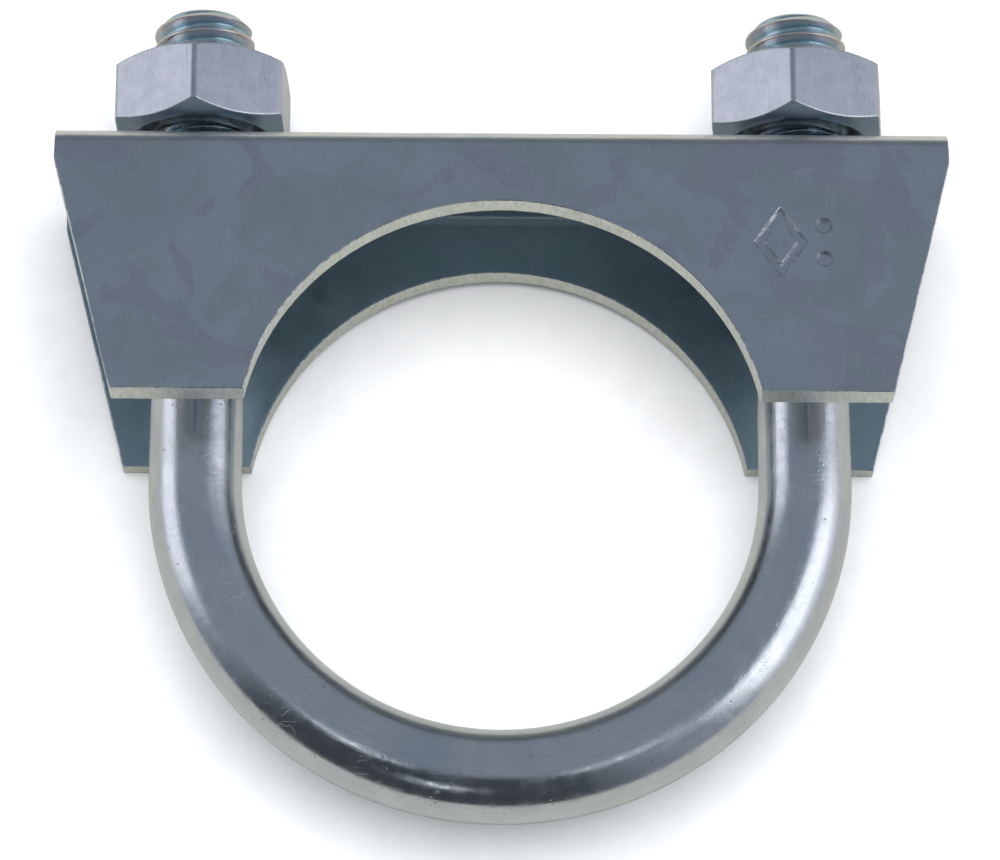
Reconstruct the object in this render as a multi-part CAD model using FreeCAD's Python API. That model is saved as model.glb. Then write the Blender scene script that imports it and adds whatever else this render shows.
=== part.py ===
import FreeCAD, Part
import math
import os

# U-bolt clamp for a 38 mm pipe. Millimetres.
# The origin is the centre of the clamped pipe, midway between the saddle's walls.
# Z runs along the pipe, X from leg to leg, and Y along the legs, from the bend to the nuts.

Vec = FreeCAD.Vector
ACROSS = Vec(1, 0, 0)
LEGWARD = Vec(0, 1, 0)
PIPEWARD = Vec(0, 0, 1)

# U-bolt
LEG_X = 23.25            # leg centreline to the pipe's centreline
ROD_R = 3.55             # plain rod, close to the thread's pitch radius as on a rolled thread
LEG_TIP_Y = 38.0
TIP_R = 3.0              # flat end inside the tip's chamfer

# M8 x 1.25 thread, right-handed on both legs
PITCH = 1.25
THREAD_START_Y = 10.0
RUN_OUT = 1.5            # length over which the thread grows from the plain rod
BOLT_MAJOR_R = 3.93
BOLT_ROOT_R = 3.24
CREST_HALF = 0.08        # half the flat on a bolt crest, along the leg
FLANK_SLOPE = math.tan(math.radians(30))
FLANK_GAP = 0.07         # clearance along the leg between mating flanks
HELIX_SPANS = 24         # spans of the curve that follows one turn
NUT_ROOT_R = 4.06
NUT_BORE_R = 3.40

# Saddle, a channel folded from sheet
SHEET = 2.0
SEAT_R = 19.75           # round notches that hold the pipe
WEB_TOP_Y = 26.3
FOOT_Y = 4.0
WEB_WIDTH = 16.0         # outside width at the web
SPLAY = math.radians(4.5)  # each wall leans outward from the web to the feet
FOOT_X = 29.35           # outer corner of a foot
SHOULDER_X = 34.15       # where the slanted end meets the folded edge
SHOULDER_Y = 23.1
FOLD_OUTER_R = 2.6
FOLD_INNER_R = 0.7
LEG_HOLE_R = 4.5

# Swelling that the punched hole leaves on the web round each leg
BOSS_TOP_Y = WEB_TOP_Y + 0.42
BOSS_TOP_R = 5.0
BOSS_FOOT_Y = WEB_TOP_Y - 0.4
BOSS_FOOT_R = 6.9
TROUGH_R = 9.0
TROUGH_FLOOR_Y = WEB_TOP_Y - 0.1

# Generic mark pressed into the front wall, a diamond outline with two dots beside it
MARK_X = 21.1            # middle of the diamond
MARK_Y = 16.4
MARK_STROKE = 0.6
MARK_DEPTH = 0.3
DIAMOND_HALF_WIDTH = 2.0
DIAMOND_HALF_HEIGHT = 2.9
DOT_R = 0.6
DOT_X = 3.3              # from the middle of the diamond
DOT_RISE = 1.4           # above and below the middle of the diamond

# Nuts, M8 with 13 mm across flats
ACROSS_FLATS = 13.0
NUT_HEIGHT = 6.3
NUT_SEAT_Y = BOSS_TOP_Y + 1.02  # a millimetre clear of the swellings
CORNER_ROUND = 0.5
BEARING_R = 5.85         # flat ring left by the 30 degree chamfers
CHAMFER_SLOPE = math.tan(math.radians(30))
COUNTERSINK_R = 4.35
NUT_TURNS = {"left": -3.6, "right": -6.6}  # degrees that a corner stands off the pipe's direction

SIDES = {"left": -1, "right": 1}


def revolved(outline, base):
    """Turn an outline of (radius, height) points about the leg direction through base."""
    points = [base + Vec(r, y, 0) for r, y in outline]
    face = Part.Face(Part.makePolygon(points + points[:1]))
    return face.revolve(base, LEGWARD, 360)


def helix(radius, height):
    """One right-handed turn about the leg direction, which starts over +X at a height."""
    spots = []
    for k in range(HELIX_SPANS + 1):
        angle = 2 * math.pi * k / HELIX_SPANS
        rise = PITCH * k / HELIX_SPANS
        spots.append(Vec(radius * math.cos(angle), height + rise, -radius * math.sin(angle)))
    curve = Part.BSplineCurve()
    curve.interpolate(spots)
    return curve.toShape()


def screw(root_r, crest_r, gap, start, turns):
    """Threaded bar about the leg direction. A crest crosses +X at start and at whole pitches above it."""
    crest_half = CREST_HALF + gap + (BOLT_MAJOR_R - crest_r) * FLANK_SLOPE
    root_half = CREST_HALF + gap + (BOLT_MAJOR_R - root_r) * FLANK_SLOPE
    profile = [
        (root_r, -root_half), (crest_r, -crest_half), (crest_r, crest_half),
        (root_r, root_half), (root_r, PITCH - root_half),
    ]
    faces = []
    for k in range(turns):
        lines = [helix(r, start + k * PITCH + y) for r, y in profile]
        for low, high in zip(lines, lines[1:]):
            faces.append(Part.makeRuledSurface(low, high))
    for end in (start, start + turns * PITCH):
        low = end - root_half
        core = Part.makeLine(Vec(0, low, 0), Vec(0, low + PITCH, 0))
        faces.append(Part.makeRuledSurface(helix(root_r, low), core))
        step = [Vec(r, end + y, 0) for r, y in profile]
        step = [Vec(0, low, 0)] + step + [Vec(0, low + PITCH, 0)]
        faces.append(Part.Face(Part.makePolygon(step + step[:1])))
    shell = Part.makeShell(faces)
    shell.sewShape()
    return Part.makeSolid(shell.Shells[0])


def make_threaded_end():
    """Threaded top of one leg, about the Y axis."""
    clear_r = BOLT_MAJOR_R + 0.3
    first = THREAD_START_Y - 2 * PITCH
    turns = math.ceil((LEG_TIP_Y - first) / PITCH) + 1
    bar = screw(BOLT_ROOT_R, BOLT_MAJOR_R, 0, first, turns)
    envelope = revolved(
        [
            (0, THREAD_START_Y),
            (ROD_R, THREAD_START_Y),
            (clear_r, THREAD_START_Y + RUN_OUT),
            (clear_r, LEG_TIP_Y - (clear_r - TIP_R)),
            (TIP_R, LEG_TIP_Y),
            (0, LEG_TIP_Y),
        ],
        Vec(),
    )
    return bar.common(envelope)


def make_u_bolt():
    bend = Part.makeTorus(LEG_X, ROD_R, Vec(), PIPEWARD, 0, 360, 180)
    bend.rotate(Vec(), PIPEWARD, 180)
    threaded = make_threaded_end()
    bolt = bend
    for side in SIDES.values():
        foot = Vec(side * LEG_X, 0, 0)
        shank = Part.makeCylinder(ROD_R, THREAD_START_Y, foot, LEGWARD)
        bolt = bolt.fuse([shank, threaded.translated(foot)])
    return bolt.removeSplitter()


def make_nut(side, turn):
    axis_foot = Vec(side * LEG_X, NUT_SEAT_Y, 0)
    corner_r = ACROSS_FLATS / 2 / math.cos(math.radians(30))
    corners = []
    for k in range(6):
        angle = math.radians(turn + 60 * k)
        corners.append(Vec(corner_r * math.sin(angle), 0, corner_r * math.cos(angle)))
    prism = Part.Face(Part.makePolygon(corners + corners[:1])).extrude(LEGWARD * NUT_HEIGHT)
    upright = [e for e in prism.Edges if abs(e.tangentAt(e.FirstParameter).y) > 0.99]
    prism = prism.makeFillet(CORNER_ROUND, upright)
    drop = (corner_r - BEARING_R) * CHAMFER_SLOPE
    barrel = revolved(
        [
            (0, 0), (BEARING_R, 0), (corner_r, drop),
            (corner_r, NUT_HEIGHT - drop), (BEARING_R, NUT_HEIGHT), (0, NUT_HEIGHT),
        ],
        Vec(),
    )
    sink = COUNTERSINK_R * CHAMFER_SLOPE
    lower_sink = revolved([(0, -1), (COUNTERSINK_R, -1), (COUNTERSINK_R, 0), (0, sink)], Vec())
    upper_sink = lower_sink.mirror(LEGWARD * NUT_HEIGHT / 2, LEGWARD)
    first = THREAD_START_Y + PITCH * math.floor((NUT_SEAT_Y - THREAD_START_Y) / PITCH - 1)
    turns = math.ceil(NUT_HEIGHT / PITCH) + 3
    tap = screw(NUT_BORE_R, NUT_ROOT_R, FLANK_GAP, first - NUT_SEAT_Y, turns)
    nut = prism.common(barrel).cut(tap).cut([lower_sink, upper_sink])
    return nut.translated(axis_foot)


def wall_outer_z(y):
    """Half the saddle's outside width at a height on the legs."""
    return WEB_WIDTH / 2 + (WEB_TOP_Y - y) * math.tan(SPLAY)


def make_channel():
    """Folded sheet running the saddle's full length, before its ends and holes are cut."""
    across = Vec(0, math.sin(SPLAY), math.cos(SPLAY)) * SHEET
    inner_top_y = WEB_TOP_Y - SHEET
    inner_top_z = wall_outer_z(inner_top_y) - SHEET / math.cos(SPLAY)
    outer_top = Vec(0, WEB_TOP_Y, WEB_WIDTH / 2)
    outer_foot = Vec(0, FOOT_Y, wall_outer_z(FOOT_Y))
    inner_foot = outer_foot - across
    inner_top = Vec(0, inner_top_y, inner_top_z)
    half = [outer_top, outer_foot, inner_foot, inner_top]
    other_half = [Vec(p.x, p.y, -p.z) for p in reversed(half)]
    outline = [p - ACROSS * SHOULDER_X for p in half + other_half]
    face = Part.Face(Part.makePolygon(outline + outline[:1]))
    channel = face.extrude(ACROSS * 2 * SHOULDER_X)

    def long_edges(y, z):
        return [
            e for e in channel.Edges
            if abs(e.Length - 2 * SHOULDER_X) < 0.01
            and abs(e.CenterOfMass.y - y) < 0.01
            and abs(abs(e.CenterOfMass.z) - z) < 0.01
        ]

    channel = channel.makeFillet(FOLD_OUTER_R, long_edges(WEB_TOP_Y, WEB_WIDTH / 2))
    return channel.makeFillet(FOLD_INNER_R, long_edges(inner_top_y, inner_top_z))


def make_blank():
    """Block with the saddle's outline as seen along the pipe: slanted ends and the pipe's notch."""
    low_y = FOOT_Y - 2
    slope = (SHOULDER_X - FOOT_X) / (SHOULDER_Y - FOOT_Y)
    low_x = FOOT_X - slope * (FOOT_Y - low_y)
    half = [(low_x, low_y), (SHOULDER_X, SHOULDER_Y), (SHOULDER_X, WEB_TOP_Y + 2)]
    outline = half + [(-x, y) for x, y in reversed(half)]
    reach = wall_outer_z(FOOT_Y) + 2
    points = [Vec(x, y, -reach) for x, y in outline]
    block = Part.Face(Part.makePolygon(points + points[:1])).extrude(PIPEWARD * 2 * reach)
    notch = Part.makeCylinder(SEAT_R, 4 * reach, PIPEWARD * -2 * reach, PIPEWARD)
    return block.cut(notch)


def make_boss(leg):
    """Swelling of the web round a leg hole, lower along the middle where the folds pull it down."""
    boss = revolved(
        [
            (0, BOSS_FOOT_Y - SHEET / 2), (BOSS_FOOT_R - 1, BOSS_FOOT_Y - SHEET / 2),
            (BOSS_FOOT_R, BOSS_FOOT_Y), (BOSS_TOP_R, BOSS_TOP_Y), (0, BOSS_TOP_Y),
        ],
        leg,
    )
    trough_axis = leg + LEGWARD * (TROUGH_FLOOR_Y + TROUGH_R)
    length = 4 * BOSS_FOOT_R
    trough = Part.makeCylinder(TROUGH_R, length, trough_axis - PIPEWARD * length / 2, PIPEWARD)
    return boss.cut(trough)


def make_mark():
    """Solid that presses the mark into the front wall, laid out flat and then leaned onto it."""
    reach = 1.0

    def diamond(half_width, half_height):
        corners = [
            Vec(half_width, 0, -MARK_DEPTH), Vec(0, half_height, -MARK_DEPTH),
            Vec(-half_width, 0, -MARK_DEPTH), Vec(0, -half_height, -MARK_DEPTH),
        ]
        face = Part.Face(Part.makePolygon(corners + corners[:1]))
        return face.extrude(PIPEWARD * (reach + MARK_DEPTH))

    inset = MARK_STROKE * math.hypot(DIAMOND_HALF_WIDTH, DIAMOND_HALF_HEIGHT)
    inner = diamond(
        DIAMOND_HALF_WIDTH - inset / DIAMOND_HALF_HEIGHT,
        DIAMOND_HALF_HEIGHT - inset / DIAMOND_HALF_WIDTH,
    )
    mark = diamond(DIAMOND_HALF_WIDTH, DIAMOND_HALF_HEIGHT).cut(inner)
    for rise in (-DOT_RISE, DOT_RISE):
        foot = Vec(DOT_X, rise, -MARK_DEPTH)
        mark = mark.fuse(Part.makeCylinder(DOT_R, reach + MARK_DEPTH, foot, PIPEWARD))
    mark.rotate(Vec(), ACROSS, -math.degrees(SPLAY))
    mark.translate(Vec(MARK_X, MARK_Y, wall_outer_z(MARK_Y)))
    return mark


def make_saddle():
    saddle = make_channel().common(make_blank())
    for side in SIDES.values():
        leg = Vec(side * LEG_X, 0, 0)
        saddle = saddle.fuse(make_boss(leg))
    for side in SIDES.values():
        leg = Vec(side * LEG_X, 0, 0)
        foot = leg + LEGWARD * (WEB_TOP_Y - 2 * SHEET)
        saddle = saddle.cut(Part.makeCylinder(LEG_HOLE_R, 3 * SHEET, foot, LEGWARD))
    return saddle.cut(make_mark())


def main():
    os.makedirs("parts", exist_ok=True)
    nodes = {"u_bolt": make_u_bolt(), "saddle": make_saddle()}
    for name, side in SIDES.items():
        nodes["nut_" + name] = make_nut(side, NUT_TURNS[name])
    for name, shape in nodes.items():
        box = shape.BoundBox
        print(name, shape.ShapeType, len(shape.Solids), shape.isValid(), round(shape.Volume, 1),
              [round(v, 2) for v in (box.XMin, box.XMax, box.YMin, box.YMax, box.ZMin, box.ZMax)])
        shape.exportStep("parts/" + name + ".step")


main()
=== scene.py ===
import math

import bpy
from mathutils import Matrix, Vector


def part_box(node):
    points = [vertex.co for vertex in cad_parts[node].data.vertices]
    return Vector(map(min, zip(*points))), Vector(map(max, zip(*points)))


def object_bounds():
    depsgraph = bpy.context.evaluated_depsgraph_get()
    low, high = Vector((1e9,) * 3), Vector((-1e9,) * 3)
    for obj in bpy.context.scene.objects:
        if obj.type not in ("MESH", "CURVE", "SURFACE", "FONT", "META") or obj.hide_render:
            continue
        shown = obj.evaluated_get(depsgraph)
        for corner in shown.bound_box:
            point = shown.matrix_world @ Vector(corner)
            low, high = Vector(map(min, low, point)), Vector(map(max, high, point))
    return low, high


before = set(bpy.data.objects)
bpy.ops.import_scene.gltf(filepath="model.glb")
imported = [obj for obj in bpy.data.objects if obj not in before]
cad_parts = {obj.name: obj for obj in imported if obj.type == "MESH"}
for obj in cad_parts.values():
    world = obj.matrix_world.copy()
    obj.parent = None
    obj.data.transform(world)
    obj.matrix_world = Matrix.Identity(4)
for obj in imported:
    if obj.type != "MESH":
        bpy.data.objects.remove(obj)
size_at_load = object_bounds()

# U-bolt clamp, bright zinc plated. Metres, in the frame of the CAD model:
# Z along the pipe, X from leg to leg, Y along the legs, from the bend to the nuts.
MM = 0.001

# Camera: a long lens in front of the clamp, a little below the bend, looking up the legs
CAMERA_PLACE = Vector((-5.77, -119.15, 345.98)) * MM
CAMERA_PITCH = math.radians(19.63)
CAMERA_YAW = math.radians(0.95)
LENS = 172.8
SENSOR = 36.0
CLIP_NEAR = 0.01
CLIP_FAR = 50.0

# Floor: the sheet that is seen, and a greyer one just below it that only the metal mirrors
FLOOR_HALF = 3.0
FLOOR_GAP = 0.02 * MM
MIRRORED_GAP = 0.2 * MM
FLOOR_COLOUR = (0.90, 0.90, 0.90)
MIRRORED_COLOUR = (0.54, 0.535, 0.485)
PAPER_FIBRE = 400.0
PAPER_SHADE = 0.96

# Lights: brightness of the grey ceiling, and the overhead light that only brightens the floor
CEILING = 0.32
OVERHEAD_SIZE = 1.6
OVERHEAD_HEIGHT = 1.6
OVERHEAD_POWER = 34.0

# Places on the clamp, in the materials' millimetres, worked out from the frame
NUT_LOW, NUT_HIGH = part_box("nut_right")
SADDLE_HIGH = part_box("saddle")[1]
LEG_X = (NUT_LOW.x + NUT_HIGH.x) / 2 / MM
WEB_UNDERSIDE_Y = SADDLE_HIGH.y / MM - 2.62    # the saddle's highest points are the swellings under the nuts
FOLD_Y = SADDLE_HIGH.y / MM - 1.52             # from here up, the outside of a fold gets a painted highlight
FOLD_Z = SADDLE_HIGH.z / MM - 4.155            # the web's flat ends here
BACK_WALL_Z = -4.0                             # what lies beyond belongs to the back wall
THREAD_START_Y = 10.0
THREAD_ROOT_R = 3.24
THREAD_CREST_R = 3.93

# Zinc drifts between four tones, at these shares of a slow noise
TONE_STOPS = ((0.30, "teal"), (0.43, "grey"), (0.52, "pale"), (0.60, "grey"), (0.72, "lilac"))
BAR_TONES = {
    "pale": (0.66, 0.68, 0.71),
    "grey": (0.60, 0.63, 0.67),
    "teal": (0.52, 0.58, 0.63),
    "lilac": (0.60, 0.60, 0.68),
}
SHEET_TONES = {
    "pale": (0.52, 0.57, 0.63),
    "grey": (0.49, 0.54, 0.60),
    "teal": (0.44, 0.51, 0.56),
    "lilac": (0.50, 0.52, 0.60),
}
NUT_TONES = {
    "pale": (0.61, 0.62, 0.69),
    "grey": (0.58, 0.60, 0.67),
    "teal": (0.52, 0.57, 0.64),
    "lilac": (0.60, 0.57, 0.68),
}

# Marks laid over the zinc: colour, and how strongly it shows. Some of them are painted light: highlights,
# dark reflections and shade.
BAR_MARKS = {
    "draw line": ((0.46, 0.50, 0.55), 0.35),
    "pit": ((0.30, 0.31, 0.33), 0.55),
    "fine pit": ((0.40, 0.42, 0.45), 0.35),
    "tick": ((0.80, 0.81, 0.83), 0.50),
    "rust": ((0.33, 0.22, 0.15), 0.80),
    # painted highlight: pale colour on the bar's sharp edges
    "edge": ((0.74, 0.73, 0.70), 0.35),
    "thread hollow": ((0.34, 0.54, 0.62), 0.65),
    # thread crests: wear and a painted highlight
    "thread crest wear and highlight": ((0.80, 0.68, 0.60), 1.00),
}
SHEET_MARKS = {
    "stain": ((0.43, 0.43, 0.52), 0.62),
    "stain border": ((0.36, 0.35, 0.47), 0.22),
    "green stain": ((0.42, 0.51, 0.51), 0.60),
    # painted shade: dark teal on the inner face of the back wall, inside the channel
    "back wall": ((0.33, 0.54, 0.61), 0.60),
    "light grain": ((0.70, 0.73, 0.75), 0.35),
    "dark grain": ((0.34, 0.36, 0.42), 0.40),
    "brushing": ((0.60, 0.64, 0.68), 0.20),
    "pit": ((0.25, 0.26, 0.29), 0.60),
    "scratch": ((0.70, 0.72, 0.75), 0.35),
    # painted highlight on the outside of the folds, and a painted dark reflection line below it
    "painted fold highlight": ((0.95, 0.95, 0.92), 1.00),
    "painted dark fold line": ((0.30, 0.31, 0.37), 0.50),
}
NUT_MARKS = {
    "brushing": ((0.48, 0.50, 0.58), 0.50),
    "scratch": ((0.36, 0.38, 0.45), 0.50),
    # painted dark reflection on the nuts' downward faces
    "underside_dark_reflection": ((0.22, 0.34, 0.38), 0.50),
    "pit": ((0.30, 0.31, 0.36), 0.55),
}
TORN_EDGE = [(0.3, (0.68, 0.73, 0.69)), (0.5, (0.86, 0.89, 0.85)), (0.7, (0.95, 0.97, 0.94))]
# painted reflections along the sheet's corners: dark, grey and bright glints
PAINTED_CORNER_REFLECTION = [(0.44, (0.16, 0.15, 0.24)), (0.50, (0.38, 0.37, 0.44)), (0.55, (0.98, 0.97, 0.95))]
SHEET_CORNER_REFLECTION_SHARE = 0.90
# painted dark reflection on the nuts' upright corners, painted highlight on their rims
NUT_CORNER_DARK_REFLECTION = (0.36, 0.37, 0.45)
NUT_RIM_HIGHLIGHT = (0.98, 0.98, 0.98)
NUT_EDGE_REFLECTION_SHARE = 0.80

# Roughness from the smoothest to the dullest patches, and the depth of the relief
BAR_ROUGHNESS = (0.13, 0.27)
SHEET_ROUGHNESS = (0.30, 0.44)
NUT_ROUGHNESS = (0.24, 0.34)
BAR_RELIEF = 0.03 * MM
SHEET_RELIEF = 0.02 * MM
NUT_RELIEF = 0.02 * MM
BEVEL_SAMPLES = 6
STUDIO_HUES = [(0.0, (0.80, 0.93, 1.10)), (1.0, (0.98, 1.0, 1.05))]


class Graph:
    """Adds and joins the nodes of one node tree."""

    def __init__(self, tree):
        self.tree = tree
        tree.nodes.clear()

    def add(self, kind, **settings):
        made = self.tree.nodes.new(kind)
        for name, value in settings.items():
            setattr(made, name, value)
        return made

    def feed(self, socket, value):
        """Joins a socket to another node's output, or sets it to a plain value."""
        if isinstance(value, bpy.types.NodeSocket):
            self.tree.links.new(value, socket)
        else:
            socket.default_value = value

    def math(self, operation, a, b=0.0, c=0.0):
        made = self.add("ShaderNodeMath", operation=operation)
        for socket, value in zip(made.inputs, (a, b, c)):
            self.feed(socket, value)
        return made.outputs[0]

    def product(self, first, *others):
        for other in others:
            first = self.math("MULTIPLY", first, other)
        return first

    def total(self, *terms, start=0.0):
        """Sum of values, each given with its weight."""
        level = start
        for value, weight in terms:
            level = self.math("MULTIPLY_ADD", value, weight, level)
        return level

    def hypotenuse(self, a, b):
        return self.math("SQRT", self.math("ADD", self.math("POWER", a, 2.0), self.math("POWER", b, 2.0)))

    def vector_math(self, operation, a, b=(0.0, 0.0, 0.0)):
        made = self.add("ShaderNodeVectorMath", operation=operation)
        self.feed(made.inputs[0], a)
        self.feed(made.inputs[1], b)
        return made.outputs["Value" if operation == "DOT_PRODUCT" else "Vector"]

    def split(self, vector):
        made = self.add("ShaderNodeSeparateXYZ")
        self.feed(made.inputs[0], vector)
        return made.outputs

    def join(self, x, y, z):
        made = self.add("ShaderNodeCombineXYZ")
        for socket, value in zip(made.inputs, (x, y, z)):
            self.feed(socket, value)
        return made.outputs[0]

    def span(self, value, start, end, low=0.0, high=1.0):
        """Smooth step of a value, from low at start to high at end."""
        made = self.add("ShaderNodeMapRange", interpolation_type="SMOOTHSTEP")
        names = ("Value", "From Min", "From Max", "To Min", "To Max")
        for name, setting in zip(names, (value, start, end, low, high)):
            self.feed(made.inputs[name], setting)
        return made.outputs[0]

    def stretch(self, vector, scale):
        return self.vector_math("MULTIPLY", vector, scale)

    def noise(self, vector, scale, detail=2.0, roughness=0.5, distortion=0.0):
        made = self.add("ShaderNodeTexNoise")
        self.feed(made.inputs["Vector"], vector)
        names = ("Scale", "Detail", "Roughness", "Distortion")
        for name, value in zip(names, (scale, detail, roughness, distortion)):
            self.feed(made.inputs[name], value)
        return made.outputs["Fac"]

    def cells(self, vector, scale):
        """Distance to the nearest of many scattered points."""
        made = self.add("ShaderNodeTexVoronoi")
        self.feed(made.inputs["Vector"], vector)
        self.feed(made.inputs["Scale"], scale)
        return made.outputs["Distance"]

    def ramp(self, value, stops):
        made = self.add("ShaderNodeValToRGB")
        ramp = made.color_ramp
        while len(ramp.elements) > 1:
            ramp.elements.remove(ramp.elements[-1])
        ramp.elements[0].position = stops[0][0]
        ramp.elements[0].color = (*stops[0][1], 1.0)
        for place, colour in stops[1:]:
            ramp.elements.new(place).color = (*colour, 1.0)
        self.feed(made.inputs[0], value)
        return made.outputs[0]

    def mix(self, share, a, b):
        """Colour a, with the given share of colour b over it."""
        made = self.add("ShaderNodeMix", data_type="RGBA")
        self.feed(made.inputs["Factor"], share)
        for name, value in (("A", a), ("B", b)):
            socket = [s for s in made.inputs if s.name == name and s.type == "RGBA"][0]
            self.feed(socket, value if isinstance(value, bpy.types.NodeSocket) else (*value, 1.0))
        return [s for s in made.outputs if s.type == "RGBA"][0]

    def lay(self, under, mark, mask):
        """Lays a mark, which is a colour and how strongly it shows, over a colour where the mask is."""
        colour, share = mark
        return self.mix(self.product(mask, share), under, colour)

    def bump(self, height, distance, normal):
        made = self.add("ShaderNodeBump")
        for name, value in (("Distance", distance), ("Height", height), ("Normal", normal)):
            self.feed(made.inputs[name], value)
        return made.outputs[0]


def metal_graph(name):
    """A new material, its graph, place in millimetres and surface direction."""
    material = bpy.data.materials.new(name)
    material.use_nodes = True
    g = Graph(material.node_tree)
    coordinates = g.add("ShaderNodeTexCoord")
    place = g.stretch(coordinates.outputs["Object"], (1 / MM,) * 3)
    return material, g, place, coordinates.outputs["Normal"]


def edge_mask(g, radius, low, high):
    """1 where the surface turns sharply within radius (mm), 0 on open faces, with the rounded normal."""
    bevel = g.add("ShaderNodeBevel", samples=BEVEL_SAMPLES)
    bevel.inputs["Radius"].default_value = radius * MM
    geometry = g.add("ShaderNodeNewGeometry")
    along = g.vector_math("DOT_PRODUCT", bevel.outputs[0], geometry.outputs["Normal"])
    return g.span(along, high, low), bevel.outputs[0]


def finish_metal(g, colour, roughness, normal):
    shader = g.add("ShaderNodeBsdfPrincipled")
    shader.inputs["Metallic"].default_value = 1.0
    g.feed(shader.inputs["Base Color"], colour)
    g.feed(shader.inputs["Roughness"], roughness)
    g.feed(shader.inputs["Normal"], normal)
    output = g.add("ShaderNodeOutputMaterial")
    g.tree.links.new(shader.outputs[0], output.inputs["Surface"])


def scratches(g, place, stretch, width, cover):
    """Thin lines along the least stretched direction, of which only a share shows."""
    lines = g.noise(g.stretch(place, stretch), 1.0, detail=1.0)
    line = g.span(g.math("ABSOLUTE", g.math("SUBTRACT", lines, 0.5)), width, 0.0)
    patches = g.span(g.noise(place, 0.35), cover, cover + 0.06)
    return g.product(line, patches)


def pits(g, place, scale, size, cover):
    """Small round spots, of which only those in some areas show."""
    spot = g.span(g.cells(place, scale), size, size * 0.4)
    patches = g.span(g.noise(place, 0.6), cover, cover + 0.05)
    return g.product(spot, patches)


def zinc_tint(g, place, tones, scale):
    """Bright zinc that drifts between grey, teal and lilac over a few millimetres."""
    drift = g.noise(place, scale, detail=3.0, roughness=0.55, distortion=0.6)
    tint = g.ramp(drift, [(stop, tones[tone]) for stop, tone in TONE_STOPS])
    grain = g.noise(place, 2.4, detail=4.0, roughness=0.65)
    return g.mix(g.span(grain, 0.35, 0.75, high=0.22), tint, tones["teal"])


def along_bar(g, place):
    """Place on the bent bar: off its centreline, through its thickness, and a small share of the length."""
    x, y, z = g.split(place)
    bend_y = g.math("MINIMUM", y, 0.0)
    side = g.math("ABSOLUTE", x)
    radius = g.hypotenuse(side, bend_y)
    turn = g.math("ARCTAN2", bend_y, side)
    length = g.math("MULTIPLY_ADD", turn, LEG_X, g.math("MAXIMUM", y, 0.0))
    return g.join(g.math("SUBTRACT", radius, LEG_X), z, g.product(length, 0.05))


def thread_wear_and_highlight(g, place, colour):
    """Teal hollows, and brownish crests that show both wear and a painted highlight, on the threaded stretch
    of each leg.
    """
    x, y, z = g.split(place)
    off_axis = g.math("SUBTRACT", g.math("ABSOLUTE", x), LEG_X)
    radius = g.hypotenuse(off_axis, z)
    threaded = g.span(y, THREAD_START_Y, THREAD_START_Y + 1.0)
    hollow = g.span(radius, THREAD_ROOT_R + 0.35, THREAD_ROOT_R + 0.10)
    hollow = g.product(hollow, g.span(radius, THREAD_ROOT_R - 0.20, THREAD_ROOT_R - 0.10))
    crest = g.span(radius, THREAD_CREST_R - 0.18, THREAD_CREST_R - 0.04)
    wear_and_highlight_patches = g.span(g.noise(place, 0.9, detail=4.0, roughness=0.7), 0.40, 0.58, 0.25, 0.85)
    colour = g.lay(colour, BAR_MARKS["thread hollow"], g.product(hollow, threaded))
    # crest colour: wear and a painted highlight
    return g.lay(colour, BAR_MARKS["thread crest wear and highlight"], g.product(crest, threaded, wear_and_highlight_patches))


def bar_zinc():
    """Drawn round bar with a rolled thread: bright, with faint draw lines and handling marks, and a painted
    highlight on its sharp edges and thread crests.
    """
    material, g, place, _ = metal_graph("bar_zinc")
    edge, rounded = edge_mask(g, radius=0.12, low=0.90, high=0.995)
    drawn = g.noise(along_bar(g, place), 5.0, detail=4.0, roughness=0.7)
    marks = pits(g, place, scale=1.6, size=0.20, cover=0.56)
    fine = pits(g, place, scale=4.5, size=0.24, cover=0.50)
    ticks = scratches(g, place, (0.35, 1.6, 1.6), width=0.010, cover=0.56)
    rust = pits(g, place, scale=0.35, size=0.10, cover=0.60)
    rust = g.product(rust, g.span(g.noise(place, 3.0), 0.45, 0.6))

    colour = zinc_tint(g, place, BAR_TONES, scale=0.10)
    colour = g.lay(colour, BAR_MARKS["draw line"], g.span(drawn, 0.42, 0.75))
    colour = g.lay(colour, BAR_MARKS["pit"], marks)
    colour = g.lay(colour, BAR_MARKS["fine pit"], fine)
    colour = g.lay(colour, BAR_MARKS["tick"], ticks)
    colour = g.lay(colour, BAR_MARKS["rust"], rust)
    # painted highlight on the bar's sharp edges
    colour = g.lay(colour, BAR_MARKS["edge"], edge)
    colour = thread_wear_and_highlight(g, place, colour)

    haze = g.noise(place, 0.8, detail=4.0, roughness=0.6)
    rough = g.total((marks, 0.15), start=g.span(haze, 0.3, 0.75, *BAR_ROUGHNESS))
    ripple = g.noise(place, 0.45, detail=3.0)
    grain = g.noise(place, 9.0, detail=3.0, roughness=0.7)
    height = g.total((ripple, 1.0), (grain, 0.06), (drawn, 0.16))
    height = g.total((marks, -0.35), (fine, -0.12), (ticks, -0.15), start=height)
    finish_metal(g, colour, rough, g.bump(height, BAR_RELIEF, rounded))
    return material


def stained(g, place, colour):
    """Soft lilac stains with a faint border, and greenish ones, with where the lilac ones are."""
    warp = g.noise(place, 0.13, detail=4.0, distortion=0.9)
    stain = g.span(warp, 0.505, 0.575)
    border = g.product(g.span(warp, 0.530, 0.545), g.span(warp, 0.560, 0.548))
    second = g.noise(g.vector_math("ADD", place, (40.0, 17.0, 5.0)), 0.11, detail=5.0, distortion=1.5)
    colour = g.lay(colour, SHEET_MARKS["stain"], stain)
    colour = g.lay(colour, SHEET_MARKS["stain border"], border)
    return g.lay(colour, SHEET_MARKS["green stain"], g.span(second, 0.49, 0.60)), stain


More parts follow.
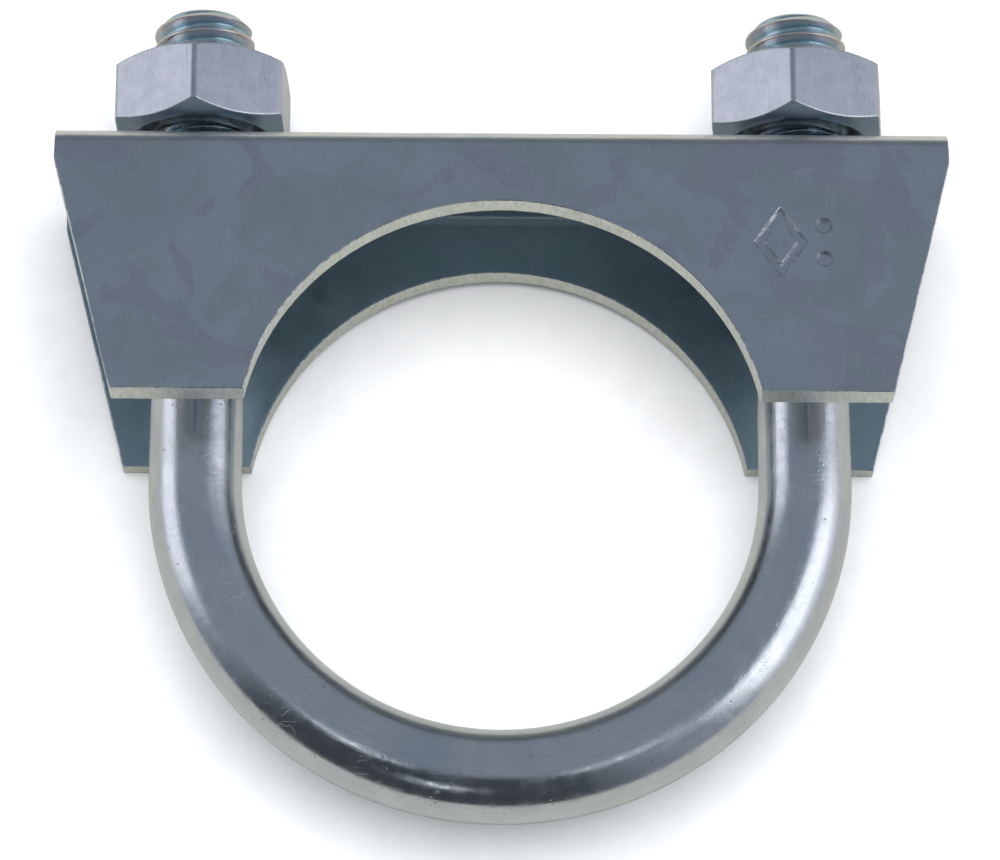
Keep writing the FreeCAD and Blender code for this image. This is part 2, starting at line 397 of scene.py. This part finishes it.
def painted_fold_reflection(g, place, cut, colour):
    """Painted highlight along the outside of each fold, above a thin painted dark reflection line."""
    _, y, z = g.split(place)
    highlight_breakup = g.noise(g.stretch(place, (0.9, 3.0, 3.0)), 1.0, detail=4.0, roughness=0.7)
    at_fold = g.span(g.math("ABSOLUTE", z), FOLD_Z, FOLD_Z + 0.6)
    above_line = g.product(g.span(y, FOLD_Y, FOLD_Y + 0.2), g.math("SUBTRACT", 1.0, cut), at_fold)
    line = g.product(g.span(y, FOLD_Y + 0.05, FOLD_Y - 0.10), g.span(y, FOLD_Y - 0.60, FOLD_Y - 0.30))
    # painted highlight on the fold, broken by noise, then the painted dark line
    fold_highlight = g.product(above_line, g.span(highlight_breakup, 0.25, 0.6, 0.60, 1.0))
    colour = g.lay(colour, SHEET_MARKS["painted fold highlight"], fold_highlight)
    return g.lay(colour, SHEET_MARKS["painted dark fold line"], line)


def painted_corner_reflection(g, place, edge, colour):
    """Painted reflection on the corners: dark or bright over long stretches, broken by short painted glints.
    """
    stretches = g.noise(place, 0.10, detail=1.0)
    glints = g.noise(place, 1.5, detail=3.0, roughness=0.7)
    reflection_colour = g.ramp(g.total((stretches, 0.5), (glints, 0.5)), PAINTED_CORNER_REFLECTION)
    return g.lay(colour, (reflection_colour, SHEET_CORNER_REFLECTION_SHARE), edge)


def sheet_zinc():
    """Folded sheet: blue-grey rolled faces with stains, and dull pale edges where it was punched. Painted
    highlights and dark reflections on the folds and corners, and painted shade on the back wall's inner
    face.
    """
    material, g, place, normal = metal_graph("sheet_zinc")
    edge, rounded = edge_mask(g, radius=0.20, low=0.88, high=0.99)
    _, y, z = g.split(place)
    nx, _, nz = g.split(normal)
    facing_end = g.span(g.math("ABSOLUTE", nx), 0.55, 0.75)
    facing_pipe = g.span(g.math("ABSOLUTE", nz), 0.55, 0.35)
    below_web = g.span(y, WEB_UNDERSIDE_Y, WEB_UNDERSIDE_Y - 0.15)
    cut = g.math("MAXIMUM", facing_end, g.product(facing_pipe, below_web))
    # mask for the painted shade on the back wall's inner face
    back_wall_shade = g.product(g.span(z, BACK_WALL_Z, BACK_WALL_Z - 1.0), g.span(nz, 0.3, 0.6))
    grain = g.noise(g.stretch(place, (7.0, 3.5, 5.0)), 1.0, detail=3.0, roughness=0.8)
    brushed = g.noise(g.stretch(place, (5.0, 0.35, 1.0)), 1.0, detail=4.0, roughness=0.7)
    speck = pits(g, place, scale=2.2, size=0.16, cover=0.54)
    lines = scratches(g, place, (1.4, 0.10, 1.0), width=0.012, cover=0.52)
    torn = g.noise(g.stretch(place, (2.2, 2.2, 0.6)), 1.6, detail=4.0, roughness=0.7)

    colour, stain = stained(g, place, zinc_tint(g, place, SHEET_TONES, scale=0.07))
    # painted shade on the back wall's inner face
    colour = g.lay(colour, SHEET_MARKS["back wall"], back_wall_shade)
    colour = g.lay(colour, SHEET_MARKS["light grain"], g.span(grain, 0.50, 0.72))
    colour = g.lay(colour, SHEET_MARKS["dark grain"], g.span(grain, 0.46, 0.28))
    colour = g.lay(colour, SHEET_MARKS["brushing"], g.span(brushed, 0.4, 0.8))
    colour = g.lay(colour, SHEET_MARKS["pit"], speck)
    colour = g.lay(colour, SHEET_MARKS["scratch"], lines)
    colour = painted_fold_reflection(g, place, cut, colour)
    colour = g.mix(cut, colour, g.ramp(torn, TORN_EDGE))
    # painted reflections on the sheet's corners
    colour = painted_corner_reflection(g, place, edge, colour)

    haze = g.noise(place, 0.5, detail=5.0, roughness=0.65)
    rough = g.total((cut, 0.14), (stain, 0.04), start=g.span(haze, 0.3, 0.75, *SHEET_ROUGHNESS))
    height = g.total((brushed, 0.25), (haze, 0.6), (speck, -0.4), (g.product(cut, torn), 2.0))
    finish_metal(g, colour, rough, g.bump(height, SHEET_RELIEF, rounded))
    return material


def nut_zinc():
    """Forged and faced nuts: lilac-grey flats with fine upright brushing, a painted highlight on the rims,
    and painted dark reflections on the upright corners and the undersides.
    """
    material, g, place, normal = metal_graph("nut_zinc")
    edge, rounded = edge_mask(g, radius=0.18, low=0.90, high=0.992)
    _, ny, _ = g.split(normal)
    _, rim_turn, _ = g.split(rounded)
    upright = g.span(g.math("ABSOLUTE", ny), 0.25, 0.12)
    # downward faces: mask for the painted dark reflection, also used for roughness
    underside_dark_reflection = g.span(ny, -0.3, -0.6)
    rim_highlight = g.span(g.math("ABSOLUTE", rim_turn), 0.08, 0.16)
    brushed = g.noise(g.stretch(place, (7.0, 0.5, 7.0)), 1.0, detail=4.0, roughness=0.7)
    streak = g.product(g.span(brushed, 0.40, 0.75), upright)
    lines = g.product(scratches(g, place, (1.8, 0.12, 1.8), width=0.012, cover=0.50), upright)
    speck = pits(g, place, scale=2.6, size=0.17, cover=0.53)

    colour = zinc_tint(g, place, NUT_TONES, scale=0.16)
    colour = g.lay(colour, NUT_MARKS["brushing"], streak)
    colour = g.lay(colour, NUT_MARKS["scratch"], lines)
    colour = g.lay(colour, NUT_MARKS["underside_dark_reflection"], underside_dark_reflection)
    colour = g.lay(colour, NUT_MARKS["pit"], speck)
    # painted highlight on the rims, painted dark reflection on the upright corners
    corner = g.mix(rim_highlight, NUT_CORNER_DARK_REFLECTION, NUT_RIM_HIGHLIGHT)
    colour = g.lay(colour, (corner, NUT_EDGE_REFLECTION_SHARE), edge)

    haze = g.noise(place, 0.9, detail=4.0, roughness=0.6)
    rough = g.total((underside_dark_reflection, -0.10), start=g.span(haze, 0.3, 0.75, *NUT_ROUGHNESS))
    ripple = g.noise(place, 0.7, detail=3.0)
    height = g.total((brushed, 0.30), (ripple, 0.35), (speck, -0.3))
    finish_metal(g, colour, rough, g.bump(height, NUT_RELIEF, rounded))
    return material


def dress(node, material):
    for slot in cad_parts[node].material_slots:
        slot.material = material


def make_sheet(name, low, colour):
    """Level sheet of paper."""
    mesh = bpy.data.meshes.new(name)
    around = ((-1, -1), (1, -1), (1, 1), (-1, 1))
    corners = [(FLOOR_HALF * x, FLOOR_HALF * y, low) for x, y in around]
    mesh.from_pydata(corners, [], [(0, 1, 2, 3)])
    sheet = bpy.data.objects.new(name, mesh)
    bpy.context.scene.collection.objects.link(sheet)
    material = bpy.data.materials.new(name + "_paper")
    material.use_nodes = True
    g = Graph(material.node_tree)
    coordinates = g.add("ShaderNodeTexCoord")
    fibre = g.noise(coordinates.outputs["Object"], PAPER_FIBRE, detail=3.0)
    shade = tuple(PAPER_SHADE * channel for channel in colour)
    tint = g.ramp(fibre, [(0.3, shade), (0.7, colour)])
    shader = g.add("ShaderNodeBsdfPrincipled")
    g.feed(shader.inputs["Base Color"], tint)
    shader.inputs["Roughness"].default_value = 0.9
    shader.inputs["Specular IOR Level"].default_value = 0.1
    output = g.add("ShaderNodeOutputMaterial")
    g.tree.links.new(shader.outputs[0], output.inputs["Surface"])
    mesh.materials.append(material)
    return sheet


def make_floor():
    """Plain pale floor just under the clamp, and a greyer sheet below it for the metal to mirror."""
    low = size_at_load[0].z - FLOOR_GAP
    seen = make_sheet("floor", low, FLOOR_COLOUR)
    seen.visible_glossy = False
    seen.visible_shadow = False
    mirrored = make_sheet("floor_mirrored", low - MIRRORED_GAP, MIRRORED_COLOUR)
    mirrored.visible_diffuse = False


def make_surroundings():
    """Studio as the metal sees it: a grey ceiling, a bright panel each side and a dark front.

    Directions are in degrees: compass from +X towards +Y, and tilt from straight overhead.
    """
    world = bpy.data.worlds.new("studio")
    bpy.context.scene.world = world
    world.use_nodes = True
    g = Graph(world.node_tree)
    way = g.vector_math("NORMALIZE", g.add("ShaderNodeTexCoord").outputs["Generated"])
    x, y, z = g.split(way)
    tilt = g.math("DEGREES", g.math("ARCCOSINE", z))
    flat = g.vector_math("NORMALIZE", g.join(x, y, 0.0))

    def sector(middle, half_width, soft):
        """1 within an angle of a compass direction."""
        angle = math.radians(middle)
        toward = g.vector_math("DOT_PRODUCT", flat, (math.cos(angle), math.sin(angle), 0.0))
        off = g.math("DEGREES", g.math("ARCCOSINE", toward))
        return g.span(off, half_width + soft, half_width - soft)

    def between(start, full, hold, end, least=0.0):
        """1 between two tilts, 0 nearer to overhead and least beyond."""
        return g.product(g.span(tilt, start, full), g.span(tilt, end, hold, least, 1.0))

    front = g.product(sector(-108.0, 48.0, 14.0), g.span(tilt, 11.0, 24.0))
    back = g.product(sector(90.0, 62.0, 12.0), g.span(tilt, 74.0, 90.0))
    right = g.product(sector(-4.0, 23.0, 10.0), between(27.0, 42.0, 62.0, 86.0, 0.35))
    left = g.product(sector(168.0, 16.0, 9.0), between(44.0, 60.0, 76.0, 96.0, 0.5))
    right_edge = g.product(sector(22.0, 14.0, 8.0), g.span(tilt, 32.0, 48.0))
    left_streak = g.product(sector(-138.0, 12.0, 8.0), between(17.0, 21.0, 24.0, 29.0))
    right_streak = g.product(sector(-50.0, 14.0, 8.0), between(17.0, 21.0, 24.0, 29.0))
    lamp = g.product(sector(-104.0, 4.0, 3.0), between(45.0, 49.0, 53.0, 57.0))
    level = g.total(
        (front, -0.25), (back, -0.18), (right, 1.30), (left, 0.95), (right_edge, 0.15),
        (left_streak, 1.40), (right_streak, 0.70), (lamp, 2.0), start=CEILING,
    )
    background = g.add("ShaderNodeBackground")
    g.feed(background.inputs["Color"], g.ramp(g.span(level, 0.1, 1.1), STUDIO_HUES))
    g.feed(background.inputs["Strength"], level)
    output = g.add("ShaderNodeOutputWorld")
    g.tree.links.new(background.outputs[0], output.inputs["Surface"])


def make_floor_light():
    """Broad overhead light that brightens the floor, kept out of the metal's reflections."""
    data = bpy.data.lights.new("overhead", "AREA")
    data.shape = "DISK"
    data.size = OVERHEAD_SIZE
    data.energy = OVERHEAD_POWER
    light = bpy.data.objects.new("overhead", data)
    light.location = (0.0, 0.0, OVERHEAD_HEIGHT)
    light.visible_glossy = False
    bpy.context.scene.collection.objects.link(light)


def make_camera():
    data = bpy.data.cameras.new("camera")
    data.sensor_width = SENSOR
    data.lens = LENS
    data.clip_start = CLIP_NEAR
    data.clip_end = CLIP_FAR
    camera = bpy.data.objects.new("camera", data)
    camera.location = CAMERA_PLACE
    ahead = Vector((
        math.sin(CAMERA_YAW) * math.cos(CAMERA_PITCH),
        math.sin(CAMERA_PITCH),
        -math.cos(CAMERA_YAW) * math.cos(CAMERA_PITCH),
    ))
    right = ahead.cross(Vector((0.0, 1.0, 0.0))).normalized()
    up = right.cross(ahead)
    camera.rotation_euler = Matrix((right, up, -ahead)).transposed().to_euler()
    bpy.context.scene.collection.objects.link(camera)
    bpy.context.scene.camera = camera


make_camera()
make_surroundings()
make_floor()
make_floor_light()
bpy.context.scene.view_settings.view_transform = "Standard"

dress("u_bolt", bar_zinc())
dress("saddle", sheet_zinc())
nut_material = nut_zinc()
for name in ("nut_left", "nut_right"):
    dress(name, nut_material)
